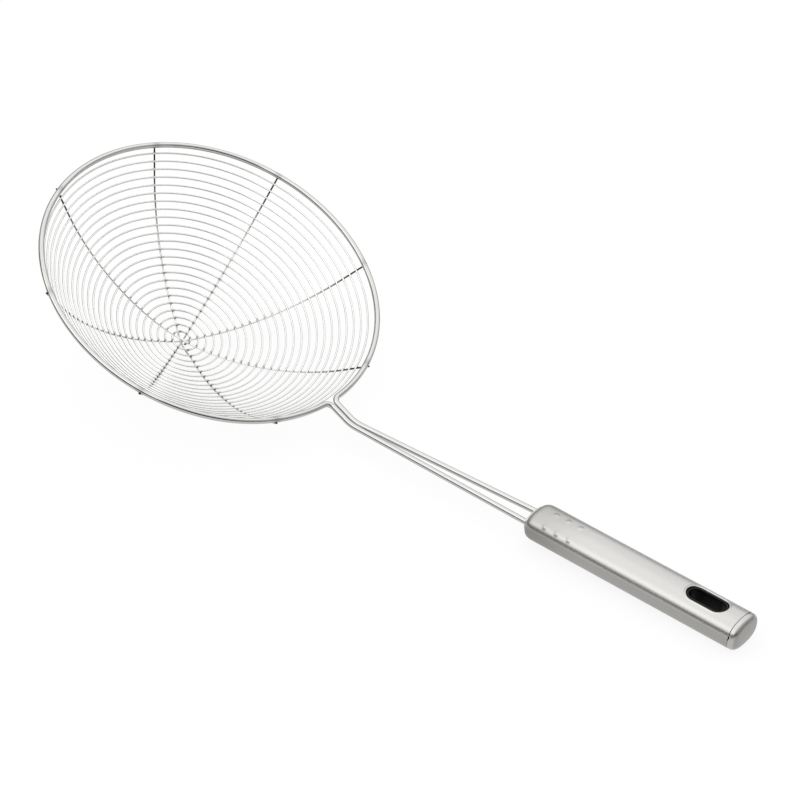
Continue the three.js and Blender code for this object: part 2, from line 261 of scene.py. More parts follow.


# Satin stainless tube, brushed lengthwise: soft bands of reflection and hair-fine streaks along the handle, with
# painted shade that makes its sides and underside darker than its top. The amounts given for the sides and for one
# end are how far these places take the darker tone.
def makeBrushedSteel(name, sideShade, endDark, endFrom, endTo):
    material, tree = newMaterial(name)
    place = addNode(tree, "ShaderNodeTexCoord")
    # streaks 0.25 mm wide and 60 mm long along the handle, drawn coarser than the real 0.05 mm grit to show
    stretch = addNode(tree, "ShaderNodeMapping", {
        "vector_type": "TEXTURE", "Rotation": (0.0, toolTip - handleRise, 0.0), "Scale": (0.06, 0.00025, 0.00025)},
        {"Vector": place.outputs["Object"]})
    streaks = addNode(tree, "ShaderNodeTexNoise", {"Scale": 1.0, "Detail": 4.0, "Roughness": 0.65},
                      {"Vector": stretch.outputs["Vector"]})
    # place on the handle in millimetres: along it from its front, across it and above its middle plane
    level = addNode(tree, "ShaderNodeMapping", {
        "vector_type": "TEXTURE", "Location": tuple(onTable(handleFront).tolist()),
        "Rotation": (0.0, toolTip - handleRise, 0.0), "Scale": (0.001, 0.001, 0.001)},
        {"Vector": place.outputs["Object"]})
    axes = addNode(tree, "ShaderNodeSeparateXYZ", {}, {"Vector": level.outputs["Vector"]})
    # painted shade: the sides and underside are darker than the top, starting about 2 mm above that plane
    side = addNode(tree, "ShaderNodeMapRange", {
        "interpolation_type": "SMOOTHSTEP", "From Min": 2.7, "From Max": 1.3, "To Min": 0.0, "To Max": sideShade},
        {"Value": axes.outputs["Z"]})
    # one end is darker too: on the cap's face this is painted shade; the tube is darker towards its mouth and the
    # plug at its front
    end = addNode(tree, "ShaderNodeMapRange", {
        "interpolation_type": "SMOOTHSTEP", "From Min": endFrom, "From Max": endTo, "To Min": 0.0, "To Max": endDark},
        {"Value": axes.outputs["X"]})
    darkened = addNode(tree, "ShaderNodeMath", {"operation": "ADD", "use_clamp": True},
                     {0: side.outputs["Result"], 1: end.outputs["Result"]})
    # slow unevenness of the polish, patches about 12 mm across
    patches = addNode(tree, "ShaderNodeTexNoise", {"Scale": 1 / 0.012, "Detail": 2.0},
                      {"Vector": place.outputs["Object"]})
    tone = addNode(tree, "ShaderNodeMapRange", {"From Min": 0.3, "From Max": 0.7, "To Min": 0.0, "To Max": 1.0},
                   {"Value": streaks.outputs["Fac"]})
    steel = addNode(tree, "ShaderNodeMix", {"data_type": "RGBA", 6: linear("#b3b2b0"), 7: linear("#bcbbb9")},
                    {0: tone.outputs["Result"]})
    # the darker grey that the painted shade and the darker end mix towards
    shadedSteel = addNode(tree, "ShaderNodeMix", {"data_type": "RGBA", 7: linear("#8c8a86")},
                    {0: darkened.outputs["Value"], 6: steel.outputs[2]})
    polish = addNode(tree, "ShaderNodeMapRange", {"From Min": 0.3, "From Max": 0.7, "To Min": 0.27, "To Max": 0.35},
                     {"Value": streaks.outputs["Fac"]})
    uneven = addNode(tree, "ShaderNodeMath", {"operation": "MULTIPLY_ADD", 1: 0.08},
                     {0: patches.outputs["Fac"], 2: polish.outputs["Result"]})
    grain = addNode(tree, "ShaderNodeBump", {"Strength": 0.03, "Distance": 0.00002},
                    {"Height": streaks.outputs["Fac"]})
    shader = addNode(tree, "ShaderNodeBsdfPrincipled", {"Metallic": 1.0}, {
        "Base Color": shadedSteel.outputs[2], "Roughness": uneven.outputs["Value"], "Normal": grain.outputs["Normal"]})
    addNode(tree, "ShaderNodeOutputMaterial", {}, {"Surface": shader.outputs["BSDF"]})
    return material


# Moulded black polypropylene: deep black with a clear gloss and the slight ripple of a moulded wall.
def makeBlackLiner():
    material, tree = newMaterial("mouldedBlackPlastic")
    place = addNode(tree, "ShaderNodeTexCoord")
    # ripple 1.5 mm across
    ripple = addNode(tree, "ShaderNodeTexNoise", {"Scale": 1 / 0.0015, "Detail": 2.0},
                     {"Vector": place.outputs["Object"]})
    black = addNode(tree, "ShaderNodeMix", {"data_type": "RGBA", 6: linear("#050505"), 7: linear("#0a0a0a")},
                    {0: ripple.outputs["Fac"]})
    gloss = addNode(tree, "ShaderNodeMapRange", {"From Min": 0.3, "From Max": 0.7, "To Min": 0.4, "To Max": 0.5},
                    {"Value": ripple.outputs["Fac"]})
    wave = addNode(tree, "ShaderNodeBump", {"Strength": 0.1, "Distance": 0.00005}, {"Height": ripple.outputs["Fac"]})
    shader = addNode(tree, "ShaderNodeBsdfPrincipled", {"IOR": 1.35, "Specular IOR Level": 0.3}, {
        "Base Color": black.outputs[2], "Roughness": gloss.outputs["Result"], "Normal": wave.outputs["Normal"]})
    addNode(tree, "ShaderNodeOutputMaterial", {}, {"Surface": shader.outputs["BSDF"]})
    return material


# Weld metal as it comes off the spot welder: dark, dull and slightly brown, with a pitted skin.
def makeWeldMetal():
    material, tree = newMaterial("heatTintedWeld")
    place = addNode(tree, "ShaderNodeTexCoord")
    # pits 0.4 mm across
    pits = addNode(tree, "ShaderNodeTexNoise", {"Scale": 1 / 0.0004, "Detail": 3.0},
                   {"Vector": place.outputs["Object"]})
    tint = addNode(tree, "ShaderNodeMix", {"data_type": "RGBA", 6: linear("#3a3733"), 7: linear("#5e5953")},
                   {0: pits.outputs["Fac"]})
    dull = addNode(tree, "ShaderNodeMapRange", {"From Min": 0.3, "From Max": 0.7, "To Min": 0.35, "To Max": 0.55},
                   {"Value": pits.outputs["Fac"]})
    skin = addNode(tree, "ShaderNodeBump", {"Strength": 0.4, "Distance": 0.0001}, {"Height": pits.outputs["Fac"]})
    shader = addNode(tree, "ShaderNodeBsdfPrincipled", {"Metallic": 1.0}, {
        "Base Color": tint.outputs[2], "Roughness": dull.outputs["Result"], "Normal": skin.outputs["Normal"]})
    addNode(tree, "ShaderNodeOutputMaterial", {}, {"Surface": shader.outputs["BSDF"]})
    return material


bowlWire = makeDrawnWire("drawnStainlessWire", deep="#d2d2d0", pale="#dededc", smooth=0.13, dullest=0.2)
rodWire = makeDrawnWire("polishedStainlessRod", deep="#b2b2b0", pale="#bebebc", smooth=0.06, dullest=0.11)
# painted shade darkens the tube's sides and underside and the cap's face; the tube also darkens towards its mouth,
# the plug at its front
brushedTube = makeBrushedSteel("brushedStainlessTube", sideShade=0.5, endDark=0.5, endFrom=36.0, endTo=-2.0)
brushedCap = makeBrushedSteel("brushedStainlessCap", sideShade=0.0, endDark=0.7, endFrom=115.2, endTo=116.4)
brightPlug = makeBrushedSteel("brightStainlessPlug", sideShade=0.0, endDark=0.35, endFrom=-0.85, endTo=-1.05)
blackLiner = makeBlackLiner()
weldMetal = makeWeldMetal()
print("materials made")


# Bowl surface: at a distance r from the axis the winding lies depth*(1-q^2)*(1+fullness*q^4) below the rim, q=r/R
bowl = {
    "depth": 52.0,
    "fullness": 0.25,
    "ribs": 4,
    "firstRib": math.radians(22.5),
    "turns": 24,
    "innerRadius": 3.0,
    "spiralWire": 1.0,
    "ribWire": 0.9,
    "sink": 0.12,     # how far welded wires are pressed into each other
    "hoopGap": 0.3,   # between the last turn and the hoop
}


def bowlHeight(r):
    q = np.asarray(r) / hoop["radius"]
    return -bowl["depth"] * (1 - q ** 2) * (1 + bowl["fullness"] * q ** 4)


def bowlSlope(r):
    # rise of the meridian over a short step to both sides
    return (bowlHeight(r + 0.01) - bowlHeight(r - 0.01)) / 0.02


meridianR = np.linspace(0.0, hoop["radius"], 4001)
meridianRun = np.concatenate([[0.0], np.cumsum(np.hypot(np.diff(meridianR), np.diff(bowlHeight(meridianR))))])
spiralBegin = bowl["innerRadius"]
spiralEnd = meridianRun[-1] - (hoop["wire"] + bowl["spiralWire"]) / 2 - bowl["hoopGap"]
spiralPitch = (spiralEnd - spiralBegin) / bowl["turns"]


def aroundAxis(r, z, azimuth):
    # points at the distance r from the axis and the height z, turned by the azimuth
    return np.stack([r * np.cos(azimuth), r * np.sin(azimuth), z + 0.0 * azimuth], axis=-1)


def spiralRadius(turned):
    # distance from the axis after so many turns: the length along the meridian grows evenly
    return np.interp(spiralBegin + turned * spiralPitch, meridianRun, meridianR)


# Spiral wire
spiral = {
    "sides": 10,
    "stepsPerTurn": 128,
    "haze": 0.65,        # how far its skin is tinted at a weld
    "hazeReach": 0.8,
    "hazeEdge": 58.0,    # no tint further from the axis than this
    "hazeFade": 20.0,    # width over which it sets in
}
turned = np.arange(bowl["turns"] * spiral["stepsPerTurn"] + 1) / spiral["stepsPerTurn"]
spiralAzimuth = -bowl["firstRib"] + 2 * np.pi * turned
spiralR = spiralRadius(turned)
spiralPath = aroundAxis(spiralR, bowlHeight(spiralR), spiralAzimuth)
ribStep = np.pi / bowl["ribs"]
toRib = spiralR * np.abs((spiralAzimuth - bowl["firstRib"] + ribStep / 2) % ribStep - ribStep / 2)
innerHalf = np.clip((spiral["hazeEdge"] - spiralR) / spiral["hazeFade"], 0.0, 1.0)
weldHaze = spiral["haze"] * innerHalf * np.exp(-(toRib / spiral["hazeReach"]) ** 2)
points, faceSets, uv, heatAndShade = wireMesh(spiralPath, bowl["spiralWire"], spiral["sides"], weldHaze)
makePiece("spiralWire", onTable(points), faceSets, bowlWire, ["spiral_wire"], uv, heatAndShade)


# Ribs: each follows the outside of the winding from hoop to hoop, dips at the middle to pass under the ribs before
# it and ends on a straight run that touches the hoop from below
rib = {
    "sides": 12,
    "steps": 90,
    "straightRun": 10.0,
    "tip": 0.8,            # length past the hoop
    "crossingFlat": 2.0,   # half length of the dip's floor
    "crossingReach": 14.0, # where the dip ends
    "layer": 0.8,          # drop from one rib to the next at the middle
    "haze": 1.0,           # painted shade on the rib, strongest by the hoop
    "shadeFrom": 52.0,      # distance from the axis at which it sets in
    "hazeRun": 32.0,       # and how far from there it is full
    "shadePower": 1.6,
    "weldHaze": 0.25,      # tint at each crossing
    "weldReach": 0.6,
    "hoopReach": 2.0,
}


def ribHalf(layer):
    # from the middle out: the meridian moved off by both wires' radii along its normal, less the dip, and then the
    # line from there that passes the middle of the hoop's wire at the touching distance
    r = np.linspace(0.0, hoop["radius"] - rib["straightRun"], rib["steps"])
    slope = np.arctan(bowlSlope(r))
    below = (bowl["spiralWire"] + bowl["ribWire"]) / 2 - bowl["sink"]
    ease = np.clip((r - rib["crossingFlat"]) / (rib["crossingReach"] - rib["crossingFlat"]), 0.0, 1.0)
    dip = layer * rib["layer"] * (1 - ease ** 2 * (3 - 2 * ease))
    x = r + below * np.sin(slope)
    z = bowlHeight(r) - below * np.cos(slope) - dip
    reachX, reachZ = hoop["radius"] - x[-1], -z[-1]
    keepOff = (hoop["wire"] + bowl["ribWire"]) / 2 - 2 * bowl["sink"]
    reach = math.hypot(reachX, reachZ)
    heading = math.atan2(reachZ, reachX) - math.asin(keepOff / reach)
    run = (math.sqrt(reach ** 2 - keepOff ** 2) + rib["tip"]) * np.linspace(0.0, 1.0, 12)[1:]
    return np.concatenate([x, x[-1] + run * math.cos(heading)]), np.concatenate([z, z[-1] + run * math.sin(heading)])


weldCentre, weldAcross, weldAlong = [], [], []
hoopJoint = []
for layer in range(bowl["ribs"]):
    azimuth = bowl["firstRib"] + layer * ribStep
    x, z = ribHalf(layer)
    path = aroundAxis(np.concatenate([-x[:0:-1], x]), np.concatenate([z[:0:-1], z]), np.float64(azimuth))
    alongRib = np.concatenate([[0.0], np.cumsum(np.hypot(np.diff(x), np.diff(z)))])
    halfHeatAndShade = []
    for half in (0, 1):
        halfAzimuth = azimuth + np.pi * half
        firstTurn = ((halfAzimuth + bowl["firstRib"]) / (2 * np.pi)) % 1.0
        crossing = np.arange(bowl["turns"]) + firstTurn
        r = spiralRadius(crossing)
        slope = np.arctan(bowlSlope(r))
        below = bowl["spiralWire"] / 2 - bowl["sink"] / 2
        weldCentre.append(aroundAxis(r + below * np.sin(slope), bowlHeight(r) - below * np.cos(slope),
                                     np.full(len(r), halfAzimuth)))
        weldAcross.append(np.tile([-math.sin(halfAzimuth), math.cos(halfAzimuth), 0.0], (len(r), 1)))
        weldAlong.append(aroundAxis(np.cos(slope), np.sin(slope), np.full(len(r), halfAzimuth)))
        toWeld = spiralPitch * np.abs((alongRib - spiralBegin) / spiralPitch % 1.0 - firstTurn)
        toWeld = np.minimum(toWeld, spiralPitch - toWeld)
        toHoop = alongRib[-1] - rib["tip"] - alongRib
        # painted shade darkens the ribs towards the hoop; weld tint marks each crossing and where the rib meets the
        # hoop
        ribShade = rib["haze"] * np.clip((x - rib["shadeFrom"]) / rib["hazeRun"], 0.0, 1.0) ** rib["shadePower"]
        halfHeatAndShade.append(np.maximum(ribShade + rib["weldHaze"] * np.exp(-(toWeld / rib["weldReach"]) ** 2),
                                   np.exp(-(toHoop / rib["hoopReach"]) ** 2)))
        # about where the rib touches the hoop
        hoopJoint.append([halfAzimuth, x[-1] - rib["tip"] * 0.9, z[-1] - rib["tip"] * 0.4])
    points, faceSets, uv, heatAndShade = wireMesh(path, bowl["ribWire"], rib["sides"],
                                          np.concatenate([halfHeatAndShade[1][:0:-1], halfHeatAndShade[0]]))
    makePiece(f"rib{layer + 1}", onTable(points), faceSets, bowlWire, [f"rib_{layer + 1}"], uv, heatAndShade)


# Spot welds: flattened beads squeezed out where the spiral crosses a rib and where a rib meets the hoop
bead = {"crossing": (0.62, 0.62, 0.4), "hoop": (0.7, 0.9, 0.45), "offHoop": 0.12, "sides": 8, "rings": 4}


def beadMesh(centre, across, along, size):
    # a few-sided ball stretched by size along three directions at every centre, all in one mesh
    lift = np.pi * (np.arange(bead["rings"]) + 0.5) / bead["rings"] - np.pi / 2
    turn = 2 * np.pi * np.arange(bead["sides"]) / bead["sides"]
    ball = np.stack([np.cos(lift)[:, None] * np.cos(turn), np.cos(lift)[:, None] * np.sin(turn),
                     np.repeat(np.sin(lift)[:, None], bead["sides"], axis=1)], axis=-1).reshape(-1, 3)
    ball = np.concatenate([ball, [[0.0, 0.0, -1.0], [0.0, 0.0, 1.0]]]) * size
    normal = np.cross(across, along)
    axes = np.stack([across, along, normal], axis=1)
    points = centre[:, None, :] + np.einsum("bk,ckd->cbd", ball, axes)
    count = bead["rings"] * bead["sides"]
    quads = gridFaces(bead["rings"], bead["sides"])
    fans = np.concatenate([fanFaces(np.arange(bead["sides"]), count, flip=True),
                           fanFaces(count - bead["sides"] + np.arange(bead["sides"]), count + 1)])
    shift = (count + 2) * np.arange(len(centre))[:, None, None]
    return points.reshape(-1, 3), [(quads + shift).reshape(-1, 4), (fans + shift).reshape(-1, 3)]


points, faceSets = beadMesh(np.concatenate(weldCentre), np.concatenate(weldAcross), np.concatenate(weldAlong),
                            np.array(bead["crossing"]))
makePiece("crossingWelds", onTable(points), faceSets, weldMetal)

hoopJoint = np.array(hoopJoint)
joint = aroundAxis(hoopJoint[:, 1], hoopJoint[:, 2], hoopJoint[:, 0])
hoopPoint = aroundAxis(hoop["radius"], 0.0, hoopJoint[:, 0])
outward = joint - hoopPoint
outward /= np.linalg.norm(outward, axis=1, keepdims=True)
roundHoop = aroundAxis(1.0, 0.0, hoopJoint[:, 0] + np.pi / 2)
points, faceSets = beadMesh(hoopPoint + outward * (hoop["wire"] / 2 + bead["offHoop"]), roundHoop,
                            np.cross(outward, roundHoop), np.array(bead["hoop"]))
makePiece("hoopWelds", onTable(points), faceSets, weldMetal)


# Frame wire: from inside the handle down one leg, round the throat bend into the hoop and back up the other leg
frameWire = {"sides": 32, "hoopSteps": 300, "bendSteps": 24, "legSteps": 60, "haze": 0.35, "hazeReach": 2.0}


def framePath():
    # one leg from points on its straights and arcs, then the hoop's circle, then the leg mirrored in y and run back
    steps = frameWire["bendSteps"]
    ratio = np.linspace(0.0, 1.0, steps)
    halfSpacing, halfGap = neck["legSpacing"] / 2, neck["legGap"] / 2
    inside = handleFront + np.linspace(neck["insertion"], 0.0, 10)[:, None] * handleAlong + [0.0, halfSpacing, 0.0]
    leg = handleFront + np.linspace(0.0, -neck["length"], frameWire["legSteps"])[1:, None] * neckRun
    # the legs draw together evenly towards the bend
    leg[:, 1] = np.linspace(halfSpacing, halfGap, frameWire["legSteps"])[1:]
    angle = neck["rise"] * (1 - ratio[1:])
    bend = np.stack([neckBendX + neck["bendRadius"] * np.sin(angle), np.full(steps - 1, halfGap),
                     neck["bendRadius"] * (1 - np.cos(angle))], axis=1)
    angle = -np.pi / 2 - (np.pi / 2 - throatAngle) * ratio[:-1]
    throat = np.stack([throatX + neck["throatRadius"] * np.cos(angle), throatY + neck["throatRadius"] * np.sin(angle),
                       np.zeros(steps - 1)], axis=1)
    oneLeg = np.concatenate([inside, leg, bend, throat])
    azimuth = np.linspace(throatAngle, 2 * np.pi - throatAngle, frameWire["hoopSteps"])
    ring = aroundAxis(hoop["radius"], 0.0, azimuth)
    return np.concatenate([oneLeg, ring, oneLeg[::-1] * [1.0, -1.0, 1.0]])


path = framePath()
onHoop = np.abs(np.hypot(path[:, 0], path[:, 1]) - hoop["radius"]) < 0.1
azimuth = np.arctan2(path[:, 1], path[:, 0])
toRib = hoop["radius"] * np.abs((azimuth - bowl["firstRib"] + ribStep / 2) % ribStep - ribStep / 2)
heatAndShade = np.where(onHoop, frameWire["haze"] * np.exp(-(toRib / frameWire["hazeReach"]) ** 2), 0.0)
points, faceSets, uv, heatAndShade = wireMesh(path, hoop["wire"], frameWire["sides"], heatAndShade)
makePiece("frameWire", onTable(points), faceSets, rodWire, ["frame_wire"], uv, heatAndShade)


# Handle sections: a squarish oval |y/a|^p + |z/b|^p = 1
handle = {
    "width": 21.2,
    "thickness": 15.0,
    "length": 113.0,
    "wall": 0.8,
    "ovalPower": 2.4,
    "columns": 176,
    "shoulderLength": 4.4,
    "shoulderDraw": 2.4,
    "dotRadius": 2.1,
    "dotHeight": 0.36,
    "dotRows": (-7.7, 0.9),             # places of the two rows across the handle
    "dotPlaces": (10.6, 17.45, 24.3),   # and of their dots along it
    "dotsEnd": 33.0,                    # rows stand closer up to here
    "dotStep": 0.32,
    "rearEdge": 0.35,
}
slotHole = {
    "length": 21.0,
    "width": 10.0,
    "centre": 94.8,
    "lip": 0.6,         # radius of the rolled edge
    "bead": 0.24,       # how far it stands out of the handle
    "beadFoot": 0.75,   # width of its outer slope
    "patchLength": 13.8,
    "patchWidth": 8.0,
}
plug = {
    "width": 15.8,
    "height": 9.7,
    "lip": 1.05,     # how far it stands out of the mouth
    "length": 14.0,
    "gap": 0.1,      # to the tube's turned-in edge
    "edge": 0.15,
    "columns": 96,
    "faceRings": 5,
}


def ovalAt(width, thickness, turn):
    # the oval's points at angles from the top round to -y: each is the angle's sine or cosine to the power 2/p
    power = handle["ovalPower"]
    return np.stack([-width / 2 * np.sign(np.sin(turn)) * np.abs(np.sin(turn)) ** (2 / power),
                     thickness / 2 * np.sign(np.cos(turn)) * np.abs(np.cos(turn)) ** (2 / power)], axis=1)


def ovalColumns(width, thickness, count):
    # the oval's points in equal steps of its own length, their outward normals and their angles
    power = handle["ovalPower"]
    angle = np.linspace(0.0, 2 * np.pi, 40001)
    fine = ovalAt(width, thickness, angle)
    run = np.concatenate([[0.0], np.cumsum(np.hypot(*np.diff(fine, axis=0).T))])
    turn = np.interp(run[-1] * np.arange(count) / count, run, angle)
    oval = ovalAt(width, thickness, turn)
    y, z = oval.T
    normal = np.stack([np.sign(y) * np.abs(2 * y / width) ** (power - 1) / width,
                       np.sign(z) * np.abs(2 * z / thickness) ** (power - 1) / thickness], axis=1)
    return oval, normal / np.linalg.norm(normal, axis=1, keepdims=True), turn


def topHeight(y):
    # the oval's formula solved for z
    share = np.abs(2 * y / handle["width"]) ** handle["ovalPower"]
    return handle["thickness"] / 2 * (1 - share) ** (1 / handle["ovalPower"])


def insetRows(oval, normal, x, inset):
    # one ring per row: the oval drawn in by inset along its normals at the distance x along the handle
    ring = oval[None] - np.asarray(inset)[:, None, None] * normal[None]
    return np.concatenate([np.broadcast_to(np.asarray(x)[:, None, None], (len(x), len(oval), 1)), ring], axis=2)


def handleTubeMesh():
    # the oval carried along the handle, drawn in at the front over a quarter ellipse, with two slot openings cut in
    columns = handle["columns"]
    oval, normal, turn = ovalColumns(handle["width"], handle["thickness"], columns)
    # front: from the mouth's turned-in edge over the flat front and the rounded shoulder
    lean = np.linspace(0.0, np.pi / 2, 18)
    shoulderX = handle["shoulderLength"] * (1 - np.cos(lean))
    shoulderIn = handle["shoulderDraw"] * (1 - np.sin(lean))
    front = insetRows(oval, normal, shoulderX, shoulderIn)
    mouth = ovalAt(plug["width"] + 2 * plug["gap"], plug["height"] + 2 * plug["gap"], turn)
    face = []
    for share, depth in ((1.0, 1.2), (1.0, 0.45), (0.97, 0.15), (0.9, 0.03), (0.6, 0.0), (0.3, 0.0)):
        ring = mouth * share + front[0, :, 1:] * (1 - share)
        face.append(np.concatenate([np.full((columns, 1), depth), ring], axis=1))
    # body, with close rows under the pressed dots and round the slot
    slotFrom, slotTo = slotHole["centre"] - slotHole["patchLength"], slotHole["centre"] + slotHole["patchLength"]
    rearX = handle["length"] - handle["rearEdge"]
    bodyX = np.concatenate([
        np.arange(handle["shoulderLength"] + 0.4, handle["dotsEnd"], handle["dotStep"]),
        np.linspace(handle["dotsEnd"], slotFrom, 22),
        np.linspace(slotFrom, slotTo, 44)[1:],
        np.linspace(slotTo, rearX, 6)[1:],
    ])
    body = insetRows(oval, normal, bodyX, np.zeros(len(bodyX)))
    # pressed dots: each lifts the top by height*(1-(d/radius)^2)^2
    for dotX in handle["dotPlaces"]:
        for dotY in handle["dotRows"]:
            foot = np.array([dotX, dotY, topHeight(dotY)])
            near = np.linalg.norm(body - foot, axis=2) / handle["dotRadius"]
            lift = handle["dotHeight"] * np.clip(1 - near ** 2, 0.0, 1.0) ** 2
            body[..., 1:] += np.where(body[..., 2:] > 0, lift[..., None] * normal[None], 0.0)
    curl = np.linspace(0.0, np.pi / 2, 5)[1:]
    rear = insetRows(oval, normal, rearX + handle["rearEdge"] * np.sin(curl), handle["rearEdge"] * (1 - np.cos(curl)))
    rows = np.concatenate([np.stack(face), front, body, rear])
    grid = rows.reshape(-1, 3)
    quads = gridFaces(len(rows), columns)
    # slot: the grid's faces over a rectangle give way to rings that run from it to the slot's edge and roll down
    rowX = rows[:, 0, 0]
    firstRow = int(np.argmin(np.abs(rowX - slotFrom)))
    lastRow = int(np.argmin(np.abs(rowX - slotTo)))
    half = int(np.sum((oval[:, 1] > 0) & (oval[:, 0] > 0) & (oval[:, 0] < slotHole["patchWidth"])))
    quadRow, quadColumn = np.divmod(np.arange(len(quads)), columns)
    sets, extra, count = [], [], len(grid)
    keep = np.ones(len(quads), dtype=bool)
    for middle, sign in ((0, 1.0), (columns // 2, -1.0)):
        fromMiddle = (quadColumn - middle + half) % columns
        keep &= ~((quadRow >= firstRow) & (quadRow < lastRow) & (fromMiddle < 2 * half))
        across = (np.arange(-half, half + 1) + middle) % columns
        alongRows = np.arange(firstRow, lastRow + 1)
        loop = np.concatenate([
            firstRow * columns + across[:-1],
            alongRows[:-1] * columns + across[-1],
            lastRow * columns + across[:0:-1],
            alongRows[:0:-1] * columns + across[0],
        ])
        edge = grid[loop]
        spine = np.clip(edge[:, 0] - slotHole["centre"], -(slotHole["length"] - slotHole["width"]) / 2,
                        (slotHole["length"] - slotHole["width"]) / 2) + slotHole["centre"]
        away = np.stack([edge[:, 0] - spine, edge[:, 1]], axis=1)
        away /= np.linalg.norm(away, axis=1, keepdims=True)
        lip, radius = slotHole["lip"], slotHole["width"] / 2
        rim = np.stack([spine + (radius + lip) * away[:, 0], (radius + lip) * away[:, 1]], axis=1)
        rings = []
        foot = rim + 1.2 * slotHole["beadFoot"] * away
        for share in np.linspace(0.0, 1.0, 9)[1:]:
            flat = edge[:, :2] * (1 - share) + foot * share
            rings.append(np.column_stack([flat, sign * topHeight(flat[:, 1])]))
        # the rolled bead: from its foot outside the edge it rises by bead*sin^2 of the way in
        for off in slotHole["beadFoot"] * np.array([1.0, 0.82, 0.64, 0.46, 0.28, 0.0]):
            flat = rim + off * away
            lift = slotHole["bead"] * math.cos(off / slotHole["beadFoot"] * math.pi / 2) ** 2
            rings.append(np.column_stack([flat, sign * (topHeight(flat[:, 1]) + lift)]))
        rimZ = topHeight(rim[:, 1]) + slotHole["bead"]
        for roll in np.linspace(0.0, np.pi / 2, 9)[1:]:
            flat = rim - lip * np.sin(roll) * away
            rings.append(np.column_stack([flat, sign * (rimZ - lip * (1 - np.cos(roll)))]))
        wallFoot = rim - lip * away
        rings.append(np.column_stack([wallFoot, sign * (rimZ - lip - 1.0)]))
        ringFaces = gridFaces(len(rings), len(loop), count)
        firstFaces = np.stack([loop, np.roll(loop, -1), count + (np.arange(len(loop)) + 1) % len(loop),
                               count + np.arange(len(loop))], axis=1)
        sets += [firstFaces, ringFaces]
        extra.append(np.concatenate(rings))
        count += len(rings) * len(loop)
    return np.concatenate([grid, *extra]), [quads[keep], *sets]


points, faceSets = handleTubeMesh()
tube = makePiece("handleTube", onTable(onHandle(points)), faceSets, brushedTube, ["handle_tube"])
wall = tube.modifiers.new("wall", "SOLIDIFY")
wall.thickness = handle["wall"] / 1000.0
wall.offset = -1.0


# Slot liner: a rounded wall profile carried round the slot's outline
liner = {"clearance": 0.1, "wall": 1.2, "top": 6.9, "edge": 0.5, "steps": 160, "wallSteps": 5}


def slotLinerMesh():
    # outline of the slot by its own length: two straights and two half circles
    straight = (slotHole["length"] - slotHole["width"]) / 2
    turn = np.linspace(0.0, np.pi, liner["steps"] // 3, endpoint=True)
    run = np.linspace(-straight, straight, liner["steps"] // 6 + 2)[1:-1]
    spine = np.concatenate([np.full(len(turn), straight), run[::-1], np.full(len(turn), -straight), run])
    heading = np.concatenate([turn - np.pi / 2, np.full(len(run), np.pi / 2), turn + np.pi / 2,
                              np.full(len(run), -np.pi / 2)])
    outer = slotHole["width"] / 2 - liner["clearance"]
    inner = outer - liner["wall"]
    curl = np.linspace(0.0, np.pi / 2, 6)
    edge, top = liner["edge"], liner["top"]
    radius = np.concatenate([outer - edge + edge * np.cos(curl), inner + edge - edge * np.sin(curl)])
    height = np.concatenate([top - edge + edge * np.sin(curl), top - edge + edge * np.cos(curl)])
    rise = np.linspace(top - edge, edge - top, liner["wallSteps"] + 2)[1:-1]
    radius = np.concatenate([radius, np.full(len(rise), inner), radius[::-1], np.full(len(rise), outer)])
    height = np.concatenate([height, rise, -height[::-1], -rise])
    x = slotHole["centre"] + spine[:, None] + np.cos(heading)[:, None] * radius
    y = np.sin(heading)[:, None] * radius
    points = np.stack([x, y, np.broadcast_to(height, x.shape)], axis=-1)
    rows, columns = x.shape
    faces = gridFaces(rows + 1, columns) % (rows * columns)
    return points.reshape(-1, 3), [faces[:, ::-1]]


points, faceSets = slotLinerMesh()
makePiece("slotLiner", onTable(onHandle(points)), faceSets, blackLiner, ["slot_liner"])


# Front plug: an oval bar with a rounded lip that stands out of the handle's mouth
def frontPlugMesh():
    columns = plug["columns"]
    oval, normal = ovalColumns(plug["width"], plug["height"], columns)[:2]
    curl = np.linspace(0.0, np.pi / 2, 7)
    edge = plug["edge"]
    x = np.concatenate([-plug["lip"] + edge * (1 - np.sin(curl[::-1])), [0.5, plug["length"]]])
    inset = np.concatenate([edge * (1 - np.cos(curl[::-1])), [0.0, 0.0]])
    rings = insetRows(oval, normal, x, inset)
    share = np.linspace(0.0, 1.0, plug["faceRings"] + 1)[1:-1, None, None]
    face = np.concatenate([np.full((len(share), columns, 1), -plug["lip"]), rings[0][None, :, 1:] * share], axis=2)
    rows = np.concatenate([face, rings, rings[-1:] * [1.0, 0.5, 0.5]])
    points = np.concatenate([rows.reshape(-1, 3), [[-plug["lip"], 0.0, 0.0], [plug["length"], 0.0, 0.0]]])
    count = len(rows) * columns
    return points, [gridFaces(len(rows), columns), fanFaces(np.arange(columns), count, flip=True),
                    fanFaces(count - columns + np.arange(columns), count + 1)]


points, faceSets = frontPlugMesh()
makePiece("frontPlug", onTable(onHandle(points)), faceSets, brightPlug, ["front_plug"])


# Leg welds: a hollow fillet round each leg where it enters the plug, its profile a quarter circle turned about it
legWeld = {"sides": 32, "size": 0.55, "sink": 0.15}


